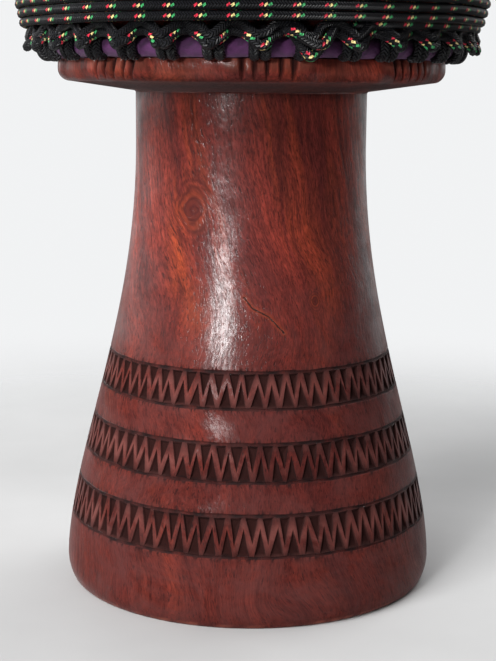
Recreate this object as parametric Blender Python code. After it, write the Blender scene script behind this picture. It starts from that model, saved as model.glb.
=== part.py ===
"""A goblet drum with a carved wooden shell, a skin head and rope tuning.

The shell is one piece of wood: a flared foot with three bands of zigzag chip carving, a narrow neck, a
notched collar and a rounded bowl, hollow from end to end. The head is a skin pulled over the rim. Two
cloth-wrapped rings carry rope loops, one rope laces the loops together over the bowl, and the spare rope
is wound round the bottom of the bowl.

Metres, +Z up. The origin is the middle of the foot, on the floor. The front is towards -Y.
"""

import math

import bmesh
import bpy
from mathutils import Vector

MM = 0.001
TURN = 2 * math.pi
FRONT = math.radians(-90)

# Clearance between pieces that touch
GAP = 0.3 * MM

# Overall sizes of the shell
DRUM_HEIGHT = 598 * MM
NECK_TOP = 278.5 * MM
COLLAR_TOP = 295.5 * MM
FOOT_RADIUS = 105.8 * MM
NECK_RADIUS = 65 * MM
COLLAR_RADIUS = 108 * MM
BOWL_RADIUS = 160 * MM
BOWL_SWELL = 2.05

# Foot edge, where the flare tucks in to the floor, and the curve of the flare
FOOT_SWELL = 12 * MM
FOOT_TUCK = 3.3 * MM
FLARE_END = 251 * MM
FLARE_BIAS = 0.8

# Walls
FOOT_WALL = 14 * MM
NECK_WALL = 13 * MM
BOWL_WALL = 15 * MM
RIM_WALL = 12 * MM
RIM_ROUND = 3 * MM
BOWL_FLOOR_RISE = 60 * MM

# Carved bands, from the floor up: lower edge, height and number of zigzags
BAND_BOTTOMS = (39.8 * MM, 77.8 * MM, 115 * MM)
BAND_HEIGHTS = (19.8 * MM, 18 * MM, 17.4 * MM)
BAND_ZIGZAGS = (73, 69, 64)
POCKET_DEPTH = 1.6 * MM

# Collar: sloped underside, short rounded edge, and groups of notches with a scooped stretch between
COLLAR_SLOPE = 6.2 * MM
COLLAR_EDGE = 4 * MM
COLLAR_ROUND = 1.8 * MM
NOTCH_GROUPS = 8
NOTCHES = 5
NOTCH_PITCH = math.radians(3.8)
NOTCH_DEPTH = 2.4 * MM
FIRST_GROUP = FRONT + math.radians(5)
SCOOP_DEPTH = 1 * MM

# Rings, and the room behind the bottom ring
RING_TUBE = 5.6 * MM
RING_CORNERS = 6
RING_OVERHANG = 2 * MM
RING_ROOM = 4.2 * MM
SEAT_SLOPE = math.radians(47)
SEAT_LENGTH = 9 * MM

# Ropes
ROPE_RADIUS = 2.5 * MM
LOOP_ROPE_RADIUS = 2.7 * MM
LOOP_COUNT = 32
FIRST_LOOP = FRONT + math.radians(2)
LOOP_ANGLES = tuple(math.radians(degrees) for degrees in (40, -8, -60))
STRAND_SHARE = 0.13
LACE_TURN_SHARE = 0.1
LACE_LEAN = 1.6 * MM
WRAP_ROWS = 9
WRAP_PITCH = 4.9 * MM
WRAP_CREASE = 1.3 * MM

# Head: skin, and the rolled edge at its bottom
SKIN = 1.2 * MM
SKIN_DROP = 52 * MM
HEM_BULGE = 6.5 * MM
HEM_HEIGHT = 14 * MM

# Facets round the drum and round a rope
SIDES = 32
BORE_SIDES = 20
ROPE_SIDES = 3
FLAT = math.cos(math.pi / SIDES)

# Bottom ring's centre line, and the foot of the bowl, which clears the ring
BOTTOM_RING_RADIUS = COLLAR_RADIUS + RING_OVERHANG
BOTTOM_RING_HEIGHT = COLLAR_TOP + GAP + RING_TUBE
SEAT_OFF = RING_TUBE + RING_ROOM
WAIST_RADIUS = BOTTOM_RING_RADIUS - SEAT_OFF * math.sin(SEAT_SLOPE) + SEAT_LENGTH * math.cos(SEAT_SLOPE)
WAIST_HEIGHT = BOTTOM_RING_HEIGHT + SEAT_OFF * math.cos(SEAT_SLOPE) + SEAT_LENGTH * math.sin(SEAT_SLOPE)
SEAT_RADIUS = WAIST_RADIUS - (WAIST_HEIGHT - COLLAR_TOP) / math.tan(SEAT_SLOPE)
THROAT_RADIUS = NECK_RADIUS - NECK_WALL

# Skin and crown ring
SKIN_RADIUS = BOWL_RADIUS + GAP + SKIN
HEM_BOTTOM = DRUM_HEIGHT - SKIN_DROP
HEM_TOP = HEM_BOTTOM + HEM_HEIGHT
CROWN_RING_RADIUS = SKIN_RADIUS + GAP + RING_TUBE
CROWN_RING_HEIGHT = HEM_TOP + GAP + RING_TUBE

# Path of the loops' rope round a ring, where straight stretches between its corners still clear the ring
WIDEST_STEP = max(a - b for a, b in zip(LOOP_ANGLES, LOOP_ANGLES[1:]))
LOOP_PATH = (RING_TUBE + GAP + LOOP_ROPE_RADIUS) / math.cos(WIDEST_STEP / 2)
FESTOON_OUT = LOOP_PATH * math.cos(LOOP_ANGLES[0])
FESTOON_UP = LOOP_PATH * math.sin(LOOP_ANGLES[0])

# Ends of the lacing's straight legs, hooked past the loops of both rings
ROPES_APART = LOOP_ROPE_RADIUS + GAP + ROPE_RADIUS
LACE_LOW_RADIUS = BOTTOM_RING_RADIUS + FESTOON_OUT + LACE_LEAN
LACE_LOW = BOTTOM_RING_HEIGHT + FESTOON_UP + ROPES_APART
LACE_HIGH_RADIUS = CROWN_RING_RADIUS + FESTOON_OUT
LACE_HIGH = CROWN_RING_HEIGHT - FESTOON_UP - ROPES_APART
WRAP_FIRST = LACE_LOW + GAP + 0.5 * ROPE_RADIUS


def steps(start, end, count):
    """count + 1 values from start to end."""
    return [start + (end - start) * i / count for i in range(count + 1)]


def even_angles(count):
    return [TURN * i / count for i in range(count)]


def polar(radius, angle, height):
    return Vector((radius * math.cos(angle), radius * math.sin(angle), height))


def flare(height):
    """How far the foot's flare has opened, from 1 at the swell to 0 where the neck runs straight."""
    share = min(max((height - FOOT_SWELL) / (FLARE_END - FOOT_SWELL), 0.0), 1.0)
    return 0.5 * (1 + math.cos(math.pi * share**FLARE_BIAS))


def stem_radius(height):
    """Outside of the foot and neck."""
    radius = NECK_RADIUS + (FOOT_RADIUS - NECK_RADIUS) * flare(height)
    if height < FOOT_SWELL:
        radius -= FOOT_TUCK * (1 - height / FOOT_SWELL) ** 2
    return radius


def bore_radius(height):
    """Inside of the foot and neck."""
    return THROAT_RADIUS + (FOOT_RADIUS - FOOT_WALL - THROAT_RADIUS) * flare(height)


def bowl_radius(height):
    """Outside of the bowl, above the ring."""
    share = (height - WAIST_HEIGHT) / (DRUM_HEIGHT - WAIST_HEIGHT)
    return WAIST_RADIUS + (BOWL_RADIUS - WAIST_RADIUS) * (1 - (1 - share) ** BOWL_SWELL)


def straight_lace(share):
    """Height and radius of a straight lacing leg, from its low end at 0 to its high end at 1."""
    height = LACE_LOW + (LACE_HIGH - LACE_LOW) * share
    return height, LACE_LOW_RADIUS + (LACE_HIGH_RADIUS - LACE_LOW_RADIUS) * share


def lace_bend():
    """How far the bowl pushes the middle of the legs out from the straight line."""
    bend = 0.0
    for share in steps(0.05, 0.95, 18):
        height, radius = straight_lace(share)
        short = bowl_radius(height) + GAP + ROPE_RADIUS - radius
        bend = max(bend, short / (1 - abs(2 * share - 1)))
    return bend


def lace_radius(height):
    """Centre line of the lacing's legs."""
    share = (height - LACE_LOW) / (LACE_HIGH - LACE_LOW)
    return straight_lace(share)[1] + lace_bend() * (1 - abs(2 * share - 1))


def wrap_radius(height):
    """Inside of the waist wraps, where even the middles of their flats clear the lacing."""
    return (lace_radius(height) + 1.1 * ROPE_RADIUS + GAP) / FLAT


def row_of(mesh, radius, height, angles):
    """A closed row of points round the axis, as (angle, vertex) pairs."""
    return [(angle, mesh.verts.new(polar(radius, angle, height))) for angle in angles]


def stitch(mesh, first, second):
    """Triangles between two closed rows of points, which may have different counts."""
    first = sorted(first, key=lambda pair: pair[0])
    second = sorted(second, key=lambda pair: pair[0])
    first.append((first[0][0] + TURN, first[0][1]))
    second.append((second[0][0] + TURN, second[0][1]))
    i = j = 0
    while i < len(first) - 1 or j < len(second) - 1:
        on_first = j == len(second) - 1 or (
            i < len(first) - 1 and first[i + 1][0] + first[i][0] <= second[j + 1][0] + second[j][0]
        )
        if on_first:
            mesh.faces.new((first[i][1], first[i + 1][1], second[j][1]))
            i += 1
        else:
            mesh.faces.new((first[i][1], second[j + 1][1], second[j][1]))
            j += 1


def stitch_all(mesh, rows):
    for lower, upper in zip(rows, rows[1:]):
        stitch(mesh, lower, upper)


def finish(mesh, name, colour, roughness, sharpest=20):
    """Turns a bmesh into a named object with its own material."""
    bmesh.ops.recalc_face_normals(mesh, faces=mesh.faces)
    data = bpy.data.meshes.new(name)
    mesh.to_mesh(data)
    mesh.free()
    data.shade_smooth()
    data.set_sharp_from_angle(angle=math.radians(sharpest))
    material = bpy.data.materials.new(name)
    material.use_nodes = True
    shader = material.node_tree.nodes["Principled BSDF"]
    shader.inputs["Base Color"].default_value = (*colour, 1)
    shader.inputs["Roughness"].default_value = roughness
    data.materials.append(material)
    piece = bpy.data.objects.new(name, data)
    bpy.context.scene.collection.objects.link(piece)
    return piece


def carve_band(mesh, bottom, height, count):
    """One band of zigzag carving: three-sided pockets that leave a zigzag ridge between them.

    Returns the lower and upper edge rows.
    """
    period = TURN / count
    top = bottom + height
    upper = row_of(mesh, stem_radius(top), top, [i * period for i in range(count)])
    lower = row_of(mesh, stem_radius(bottom), bottom, [(i + 0.5) * period for i in range(count)])

    def pocket(corners, angle, level):
        deep = mesh.verts.new(polar(stem_radius(level) - POCKET_DEPTH, angle, level))
        for here, after in zip(corners, [*corners[1:], corners[0]]):
            mesh.faces.new((here, after, deep))

    for i in range(count):
        after = (i + 1) % count
        pocket((upper[i][1], upper[after][1], lower[i][1]), (i + 0.5) * period, top - height / 3)
        pocket((lower[i][1], lower[after][1], upper[after][1]), (i + 1) * period, bottom + height / 3)
    return lower, upper


def collar_angles():
    """(angle, depth of the carving) round the collar."""
    marks = []
    group_width = NOTCH_PITCH * NOTCHES
    for group in range(NOTCH_GROUPS):
        middle = FIRST_GROUP + TURN * group / NOTCH_GROUPS
        for i in range(2 * NOTCHES + 1):
            marks.append((middle - group_width / 2 + NOTCH_PITCH * i / 2, NOTCH_DEPTH * (i % 2)))
        marks.append((middle + TURN / NOTCH_GROUPS / 2, SCOOP_DEPTH))
    return [(angle % TURN, depth) for angle, depth in marks]


def collar_rows(mesh):
    """The collar's lower edge and its notched face, from the bottom up."""
    low = NECK_TOP + COLLAR_SLOPE
    face = low + COLLAR_ROUND
    levels = (
        (COLLAR_RADIUS - COLLAR_EDGE, low, 0.3),
        (COLLAR_RADIUS, face + (COLLAR_TOP - face) / 3, 1.0),
        (COLLAR_RADIUS, COLLAR_TOP, 0.0),
    )
    return [
        [
            (angle, mesh.verts.new(polar(radius - cut * depth, angle, level)))
            for angle, depth in collar_angles()
        ]
        for radius, level, cut in levels
    ]


def bore_rows(mesh):
    """The hollow, from the foot up to the rim."""
    ring = even_angles(BORE_SIDES)
    throat_top = (NECK_TOP + COLLAR_TOP) / 2
    rows = [row_of(mesh, bore_radius(level), level, ring) for level in steps(0.0, FLARE_END, 5)]
    rows.append(row_of(mesh, THROAT_RADIUS, throat_top, ring))
    floor_top = throat_top + BOWL_FLOOR_RISE
    wide = bowl_radius(floor_top) - BOWL_WALL
    for degrees in (30, 60, 90):
        angle = math.radians(degrees)
        radius = THROAT_RADIUS + (wide - THROAT_RADIUS) * math.sin(angle)
        rows.append(row_of(mesh, radius, floor_top - BOWL_FLOOR_RISE * math.cos(angle), ring))
    for share in (0.5, 1.0):
        level = floor_top + share * (DRUM_HEIGHT - floor_top)
        wall = BOWL_WALL + share * (RIM_WALL - BOWL_WALL)
        rows.append(row_of(mesh, bowl_radius(level) - wall, level, ring))
    return rows


def make_shell():
    mesh = bmesh.new()
    ring = even_angles(SIDES)
    bands = [carve_band(mesh, *band) for band in zip(BAND_BOTTOMS, BAND_HEIGHTS, BAND_ZIGZAGS)]
    foot_levels = (0.0, 0.3 * FOOT_SWELL, FOOT_SWELL, (FOOT_SWELL + BAND_BOTTOMS[0]) / 2)
    foot = [row_of(mesh, stem_radius(level), level, ring) for level in foot_levels]
    stitch_all(mesh, [*foot, bands[0][0]])
    for below, above in zip(bands, bands[1:]):
        stitch(mesh, below[1], above[0])

    carved_top = BAND_BOTTOMS[-1] + BAND_HEIGHTS[-1]
    neck = [row_of(mesh, stem_radius(z), z, ring) for z in steps(carved_top, NECK_TOP, 5)[1:]]
    seat = row_of(mesh, SEAT_RADIUS, COLLAR_TOP, ring)
    bowl_levels = steps(WAIST_HEIGHT, DRUM_HEIGHT - RIM_ROUND, 5)
    bowl = [row_of(mesh, bowl_radius(level), level, ring) for level in bowl_levels]
    rim = row_of(mesh, BOWL_RADIUS - RIM_ROUND, DRUM_HEIGHT, ring)
    stitch_all(mesh, [bands[-1][1], *neck, *collar_rows(mesh), seat, *bowl, rim])
    stitch_all(mesh, [rim, *reversed(bore_rows(mesh)), foot[0]])
    return finish(mesh, "shell", (0.20, 0.045, 0.03), 0.35)


def turned(name, outline, colour, roughness):
    """A closed outline of (radius, height) points turned about the axis. A radius of 0 is one point."""
    mesh = bmesh.new()
    angles = even_angles(SIDES)
    rows = [
        row_of(mesh, radius, height, angles) if radius else mesh.verts.new((0, 0, height))
        for radius, height in outline
    ]
    pairs = list(zip(rows, rows[1:]))
    if isinstance(rows[0], list):
        pairs.append((rows[-1], rows[0]))
    for lower, upper in pairs:
        if isinstance(lower, list) and isinstance(upper, list):
            stitch(mesh, lower, upper)
            continue
        edge, centre = (lower, upper) if isinstance(lower, list) else (upper, lower)
        for (_, here), (_, after) in zip(edge, [*edge[1:], edge[0]]):
            mesh.faces.new((here, after, centre))
    return finish(mesh, name, colour, roughness)


def make_drumhead():
    """A skin over the rim, with its edge rolled into a bulge below the crown ring."""
    top = DRUM_HEIGHT + GAP + SKIN
    bulge = SKIN_RADIUS + HEM_BULGE
    outline = (
        (0, top),
        (SKIN_RADIUS - 2.2 * RIM_ROUND, top),
        (SKIN_RADIUS - 0.5 * RIM_ROUND, top - 0.6 * RIM_ROUND),
        (SKIN_RADIUS, top - 2 * RIM_ROUND),
        (SKIN_RADIUS, HEM_TOP),
        (bulge, HEM_BOTTOM + 0.7 * HEM_HEIGHT),
        (bulge, HEM_BOTTOM + 0.3 * HEM_HEIGHT),
        (SKIN_RADIUS, HEM_BOTTOM),
        (SKIN_RADIUS - SKIN, HEM_BOTTOM),
        (SKIN_RADIUS - SKIN, DRUM_HEIGHT - RIM_ROUND),
        (BOWL_RADIUS - RIM_ROUND + GAP, DRUM_HEIGHT + GAP),
        (0, DRUM_HEIGHT + GAP),
    )
    return turned("drumhead", outline, (0.72, 0.60, 0.44), 0.6)


def make_ring(name, radius, height):
    """A cloth-wrapped ring."""
    outline = [
        (radius + RING_TUBE * math.cos(angle), height + RING_TUBE * math.sin(angle))
        for angle in even_angles(RING_CORNERS)
    ]
    return turned(name, outline, (0.11, 0.03, 0.12), 0.8)


def sweep(name, points, radius):
    """A three-sided rope along a closed path. Its section is carried round without twisting."""
    mesh = bmesh.new()
    count = len(points)
    tangents = [(points[(i + 1) % count] - points[i - 1]).normalized() for i in range(count)]
    normals = [tangents[0].orthogonal().normalized()]
    for before, after in zip(tangents, [*tangents[1:], tangents[0]]):
        normals.append(before.rotation_difference(after) @ normals[-1])
    side = tangents[0].cross(normals[0])
    twist = math.atan2(normals[-1].dot(side), normals[-1].dot(normals[0]))
    rows = []
    for i, (point, tangent) in enumerate(zip(points, tangents)):
        across = normals[i]
        up = tangent.cross(across)
        turns = [TURN * k / ROPE_SIDES - twist * i / count for k in range(ROPE_SIDES)]
        offsets = [across * math.cos(turn) + up * math.sin(turn) for turn in turns]
        rows.append([mesh.verts.new(point + radius * offset) for offset in offsets])
    for here, after in zip(rows, [*rows[1:], rows[0]]):
        for k in range(ROPE_SIDES):
            beside = (k + 1) % ROPE_SIDES
            mesh.faces.new((here[k], here[beside], after[beside], after[k]))
    return finish(mesh, name, (0.02, 0.02, 0.02), 0.75)


def loops_path(radius, height, hang):
    """Rope hitched round a ring in double strands, running in front of it from each hitch to the next.

    hang is 1 where the hitches go under the ring, and -1 where they go over it.
    """
    period = TURN / LOOP_COUNT
    corners = [(-STRAND_SHARE, angle) for angle in LOOP_ANGLES]
    corners += [(STRAND_SHARE, angle) for angle in reversed(LOOP_ANGLES)]
    points = []
    for loop in range(LOOP_COUNT):
        for share, angle in corners:
            out = radius + LOOP_PATH * math.cos(angle)
            up = height + hang * LOOP_PATH * math.sin(angle)
            points.append(polar(out, FIRST_LOOP + (loop + share) * period, up))
    return points


def lacing_path():
    """One rope up and down over the bowl, between the loops of the two rings."""
    period = TURN / LOOP_COUNT
    halfway = (LACE_LOW + LACE_HIGH) / 2
    points = []
    for turn in range(2 * LOOP_COUNT):
        middle = (turn + 1) / 2
        end = LACE_HIGH if turn % 2 else LACE_LOW
        for share, level in ((-LACE_TURN_SHARE, end), (LACE_TURN_SHARE, end), (0.25, halfway)):
            points.append(polar(lace_radius(level), FIRST_LOOP + (middle + share) * period, level))
    return points


def make_waist_wraps():
    """The spare rope wound round the bottom of the bowl, over the lacing: one ridge for each turn."""
    last = WRAP_FIRST + (WRAP_ROWS - 1) * WRAP_PITCH
    bottom = WRAP_FIRST - ROPE_RADIUS
    top = last + ROPE_RADIUS
    outline = [(wrap_radius(bottom), bottom)]
    for row in range(WRAP_ROWS):
        level = WRAP_FIRST + row * WRAP_PITCH
        crest = wrap_radius(level) + 2 * ROPE_RADIUS
        outline.append((crest - WRAP_CREASE, level - WRAP_PITCH / 2))
        outline.append((crest, level))
    outline.append((wrap_radius(top) + 2 * ROPE_RADIUS - WRAP_CREASE, top))
    outline.append((wrap_radius(top), top))
    return turned("waist_wraps", outline, (0.02, 0.02, 0.02), 0.75)


def main():
    for old in list(bpy.data.objects):
        bpy.data.objects.remove(old)
    make_shell()
    make_drumhead()
    make_ring("bottom_ring", BOTTOM_RING_RADIUS, BOTTOM_RING_HEIGHT)
    make_ring("crown_ring", CROWN_RING_RADIUS, CROWN_RING_HEIGHT)
    bottom_loops = loops_path(BOTTOM_RING_RADIUS, BOTTOM_RING_HEIGHT, 1)
    crown_loops = loops_path(CROWN_RING_RADIUS, CROWN_RING_HEIGHT, -1)
    sweep("bottom_loops", bottom_loops, LOOP_ROPE_RADIUS)
    sweep("crown_loops", crown_loops, LOOP_ROPE_RADIUS)
    sweep("lacing_rope", lacing_path(), ROPE_RADIUS)
    make_waist_wraps()


main()
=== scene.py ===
"""The finished look of a rope-tuned goblet drum, in carved varnished wood, braided rope, cloth and skin.

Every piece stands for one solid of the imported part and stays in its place. Metres, +Z up, front towards -Y.
"""

from math import atan2, cos, hypot, pi, radians, sin, sqrt

import bmesh
import bpy
import numpy as np
from mathutils import Matrix, Vector
from numpy.random import default_rng

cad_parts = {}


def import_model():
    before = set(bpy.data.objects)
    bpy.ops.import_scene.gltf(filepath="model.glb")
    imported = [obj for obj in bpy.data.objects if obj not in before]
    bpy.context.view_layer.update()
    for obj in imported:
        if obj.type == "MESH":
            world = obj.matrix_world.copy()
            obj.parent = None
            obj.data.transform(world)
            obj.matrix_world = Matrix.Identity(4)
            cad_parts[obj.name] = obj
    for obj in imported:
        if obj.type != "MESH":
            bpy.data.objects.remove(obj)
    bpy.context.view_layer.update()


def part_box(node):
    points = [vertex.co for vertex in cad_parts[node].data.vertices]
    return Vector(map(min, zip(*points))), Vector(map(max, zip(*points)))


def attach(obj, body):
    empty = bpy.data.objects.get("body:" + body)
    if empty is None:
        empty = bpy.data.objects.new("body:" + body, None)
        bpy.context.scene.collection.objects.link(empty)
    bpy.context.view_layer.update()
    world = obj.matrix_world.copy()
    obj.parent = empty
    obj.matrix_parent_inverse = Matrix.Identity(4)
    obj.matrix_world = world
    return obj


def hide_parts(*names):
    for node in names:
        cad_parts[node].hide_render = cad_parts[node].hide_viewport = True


MM = 0.001
TURN = 2 * pi
FRONT = radians(-90)

# Stem of the shell, and its walls
NECK_TOP = 278.5 * MM
COLLAR_TOP = 295.5 * MM
FOOT_RADIUS = 105.8 * MM
NECK_RADIUS = 65 * MM
COLLAR_RADIUS = 108 * MM
FOOT_SWELL = 12 * MM
FOOT_TUCK = 3.3 * MM
FOOT_LEVELS = (0.0, 0.4 * MM, 1.5 * MM, 3 * MM, 5 * MM, 8 * MM, FOOT_SWELL)
EDGE_IN = 0.8 * MM
EDGE_UP = 1.5 * MM
WORN_UP = 2 * MM
FLARE_END = 251 * MM
FLARE_BIAS = 0.8
FOOT_WALL = 14 * MM
NECK_WALL = 13 * MM
BOWL_WALL = 15 * MM
RIM_WALL = 12 * MM
RIM_ROUND = 3 * MM
BOWL_FLOOR_RISE = 60 * MM
BOWL_SWELL = 2.05
COLLAR_SLOPE = 5.1 * MM
SEAT_RADIUS = 91 * MM
WAIST_RADIUS = 108.8 * MM
WAIST_HEIGHT = 314.8 * MM

# Carved bands, from the floor up
BAND_BOTTOMS = (39.8 * MM, 77.8 * MM, 115 * MM)
BAND_HEIGHTS = (19.8 * MM, 18 * MM, 17.4 * MM)
BAND_ZIGZAGS = (73, 69, 64)
RIB_SHARE = 0.27
POCKET_REACH = 0.74
POCKET_FLOOR = 1.1 * MM
POCKET_DEEP = 1.7 * MM
LINE_OFF = 0.85 * MM
LINE_WIDTH = 1.6 * MM
LINE_DEPTH = 0.5 * MM
LINE_SWAY = 0.15 * MM
LINE_REACH = 2.1
TICK_SHARE = 0.28
BASE_GAP = 3 * MM
CARVED_GAP = 4 * MM

# How unevenly pockets are cut, in shares apart from the corners, how dark their floors are, and how their
# corners are burnt
REACH_UNEVEN = 0.12
WIDTH_UNEVEN = 0.24
APEX_UNEVEN = 0.13
CORNER_UNEVEN = 0.5 * MM
DEPTH_RANGE = (0.8, 1.15)
POCKET_DRAWN_IN = 0.3
# The floors' darkness is a dark stain and painted shade; the upper pockets get more painted shade
UPPER_STAIN_AND_SHADE = 0.95
LOWER_STAIN_AND_SHADE = (0.5, 0.85)
CORNERS_BURNT = (0.7, 0.7, 0.0)

# Collar carving
NOTCH_GROUPS = 8
NOTCHES = 5
NOTCH_PITCH = radians(3.5)
FIRST_GROUP = FRONT + radians(4.5)
NOTCH_DEPTH = 2.4 * MM
NOTCH_WIDTH = 2.6 * MM
NOTCH_FOOT = 0.25
NOTCH_RUN_OUT = 0.25
SCOOP_DEPTH = 1.2 * MM
# Scoops are paler: fresh-cut wood, partly a painted reflection
SCOOP_FRESH_AND_SHEEN = 0.45
COLLAR_CORNER = 6.7 * MM
GROUP_LEANS = (0.0, 0.3, 0.1, -0.2, 0.0, 0.2, -0.1, -0.3)
LEDGE_IN = 3.5 * MM

# Skin and its rolled edge
SKIN_OUT = 1.5 * MM
SKIN_THICK = 1.2 * MM
SKIN_DIP = 0.25 * MM
SKIN_FLAT_IN = 6.6 * MM
SKIN_ROUND = 6 * MM
HEM_HEIGHT = 14 * MM
HEM_OUT = 6.5 * MM
HEM_HALF = 6.9 * MM
UNDER_GAP = 0.3 * MM

# Layers of noise, as (scale, detail, roughness, distortion, scale up the drum as a share)
GRAIN = (75, 7, 0.62, 0.5, 0.08)
BROAD = (13, 3, 0.5, 0.8, 0.3)
LINES = (330, 5, 0.65, 0.3, 0.07)
PORES = (1300, 2, 0.5, 0.0, 0.16)
STREAKS = (26, 4, 0.6, 1.0, 0.12)
GRIT = (900, 5, 0.7, 0.4, 0.28)
CLOUDS = (24, 5, 0.65, 1.2, 1.6)
PATCHES = (45, 5, 0.75)
WAVES = (60, 3)
WANDER = (8, 2)
KNOT_EDGE = (110, 2)
ROPE_FUZZ = (1800, 2)
CREASES = (150, 4, 0.6, 1.0)
MOTTLE = (22, 5, 0.6, 0.8)
VEINS = (75, 6, 0.65, 1.4)
SKIN_PORES = (900, 2)

# Light and dark of each wood, and tints and shares of them
VARNISHED_WOOD = ((0.39, 0.053, 0.031), (0.10, 0.015, 0.013))
BARE_WOOD = ((0.24, 0.11, 0.06), (0.13, 0.055, 0.032))
# Wood of the carved pockets: dark stain, with painted shade in them
CARVED_STAIN_AND_SHADE = ((0.055, 0.010, 0.008), (0.02, 0.004, 0.003))
ORANGE_SHARES = (1.0, 1.15, 0.5)
PLUM_SHARES = (0.55, 0.62, 0.85)
GRIT_TONES = ((0.34, 0.42), (0.5, 0.82), (0.60, 1.15))
# Painted sheen: a pale pink mixed in clouds into the varnished foot
PAINTED_SHEEN_TINT = (0.19, 0.060, 0.055)
FRESH_TINT = (0.30, 0.085, 0.055)
RIB_TINT = (0.20, 0.062, 0.052)
# Cut pockets and notches: a dark stain, deepened with painted shade
CUT_STAIN_AND_SHADE_TINT = (0.022, 0.0055, 0.0045)
BURNT_TINT = (0.010, 0.004, 0.004)
CRACK_TINT = (0.012, 0.005, 0.004)

# Up the drum, as (height in metres, amount): how the grain shows, how light the wood is, how dull
GRAIN_SHOWS = ((0.0, 0.3), (0.13, 0.45), (0.2, 1.0))
# Painted shade: the neck just under the collar and the collar's underside are darkened; the wood is also
# darker towards the foot
TONE_AND_PAINTED_SHADE = (
    (0.0, 0.50), (0.13, 0.60), (0.2, 1.0), (0.27, 1.0), (0.2765, 0.8),
    (0.2785, 0.3), (0.2795, 0.22), (0.2838, 0.25), (0.2866, 1.0), (1.0, 0.9),
)
WEAR = (
    (0.0, 0.95), (0.05, 0.8), (0.11, 0.72), (0.13, 0.5), (0.15, 0.0),
    (0.277, 0.0), (0.28, 0.95), (0.2838, 0.95), (0.2866, 0.45),
)
DULL_MARKS = (("cut", 2.5), ("burnt", 3.0), ("rib", 0.85))
COAT = 0.85
PAINTED_SHEEN = 0.75

# Wood figure: lean of the grain in radians a metre, and knots as (degrees right of the front,
# millimetres up, radius in millimetres)
GRAIN_LEAN = 2.2
WANDER_TURN = 0.9
FAR = 50.0
KNOTS_AT = 72 * MM
KNOT_SQUASH = 0.8
KNOT_CORE = 0.2
KNOT_RINGS = 9.0
KNOTS = (
    (-27.2, 216.4, 5.6), (28.7, 169, 1.8), (118, 96, 4),
    (-128, 190, 5), (160, 420, 6), (-75, 470, 5),
)

# The orange flame beside the large knot and the crack below it, as (degrees right, millimetres up)
LINES_AT = 75 * MM
FLAME_WIDTH = 12 * MM
CRACK_WIDTH = 2.2 * MM
FLAME = ((-36, 232), (-37, 205), (-32, 180), (-22, 160))
CRACK = ((-2.3, 172), (1.1, 166.4), (7.9, 162), (14, 153.4))

# Ropes
LOOP_COUNT = 32
FIRST_LOOP = FRONT + radians(2)
ROPE_OUT = 2.25 * MM
ROPE_ACROSS = 2.55 * MM
STRAND_GAP = 5.3 * MM
HITCH_OUT = 2.2 * MM
HITCH_ACROSS = 2.85 * MM
GARLAND_OUT = 2.2 * MM
THREADS = ((0.75, 0.035, 0.07), (0.95, 0.76, 0.32), (0.06, 0.42, 0.14))
FLECK_PITCH = 15.5 * MM
FLECK_WIDTH = 2.1 * MM
FLECK_LEAN = 0.5
FLECK_NARROWING = 3.2
BRAID_PITCH = 1.5 * MM
BRAID_STRANDS = 8
BRAID_SHIFT = 37 * MM
END_READS = 0.3
# Braid tones: painted shade in the grooves and a painted bluish sheen on the ridges
ROPE_SHADE_AND_SHEEN_TONES = ((0.0, 0.001), (0.5, (0.0028, 0.0028, 0.0034)), (1.0, (0.012, 0.0125, 0.018)))
WRAP_LOW = 310.9 * MM
WRAP_RADIUS = 125.2 * MM
WRAP_PITCH = 4.9 * MM
WRAP_TUCK = 0.5
WRAP_TUCK_UP = 1.6 * MM
WRAP_TUCK_IN = 1.6 * MM
WRAP_FLECKS = 52
WRAP_AROUND = 230
WRAP_END = 0.03
WRAP_END_IN = 5 * MM
WRAP_START = radians(24)
WRAP_LEAN = 0.24
LACE_SHARE = 0.1
LACE_HALF = 2.5 * MM
LACE_OUT = 9.2 * MM
LACE_LIFT = 3 * MM
LACE_STEPS = (0.15, 0.35, 0.55, 0.75, 0.88)

# Cloth on the rings, and the colours of cloth and skin
RING_SHARE = 0.99
CLOTH_LAP = 24 * MM
CLOTH_LEAN = 0.6
CLOTH_DIP = 0.035
CLOTH_CREASE = 0.02
CLOTH_THREAD = 0.55 * MM
CLOTH_WARP = 64
CLOTH_TONES = ((0.3, (0.052, 0.0105, 0.057)), (0.7, (0.118, 0.024, 0.122)))
CLOTH_EDGE_TINT = (0.025, 0.006, 0.03)
SKIN_TONES = ((0.3, (0.33, 0.235, 0.14)), (0.7, (0.47, 0.37, 0.255)))
VEIN_TINT = (0.26, 0.17, 0.09)
SPINE_TINT = (0.17, 0.105, 0.06)
SPINE_WIDTH = 90 * MM

# The garland's strands: share of the way to the next hitch, then millimetres above the ring's centre line
# and outside it
GARLAND = (
    (
        (-0.02, 0.2, 14.6), (0.10, 1.2, 14.4), (0.20, 4.0, 12.6), (0.33, 6.2, 10.6),
        (0.50, 6.9, 10.0), (0.67, 6.0, 10.8), (0.80, 3.8, 12.8), (0.90, 1.2, 14.4),
    ),
    (
        (-0.02, 4.8, 14.2), (0.10, 5.6, 13.8), (0.20, 8.0, 12.8), (0.33, 10.2, 11.8),
        (0.50, 10.9, 11.4), (0.67, 10.1, 11.6), (0.80, 8.0, 12.8), (0.90, 5.8, 13.8),
    ),
)

# Where the rope is tied off the garland sags, and one more strand crosses it: the same three numbers
TIE_OFF = 1
TIE_SAG = 5.5
TIE_SPREAD = 0.45
TIE_STRAND = (
    (-0.5, 7.5, 12.5), (-0.34, 6.5, 15.2), (-0.14, 3.2, 17.0), (0.08, 0.6, 17.4),
    (0.26, 1.6, 16.4), (0.4, 5.5, 14.4), (0.52, 8.5, 11.5),
)

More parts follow.
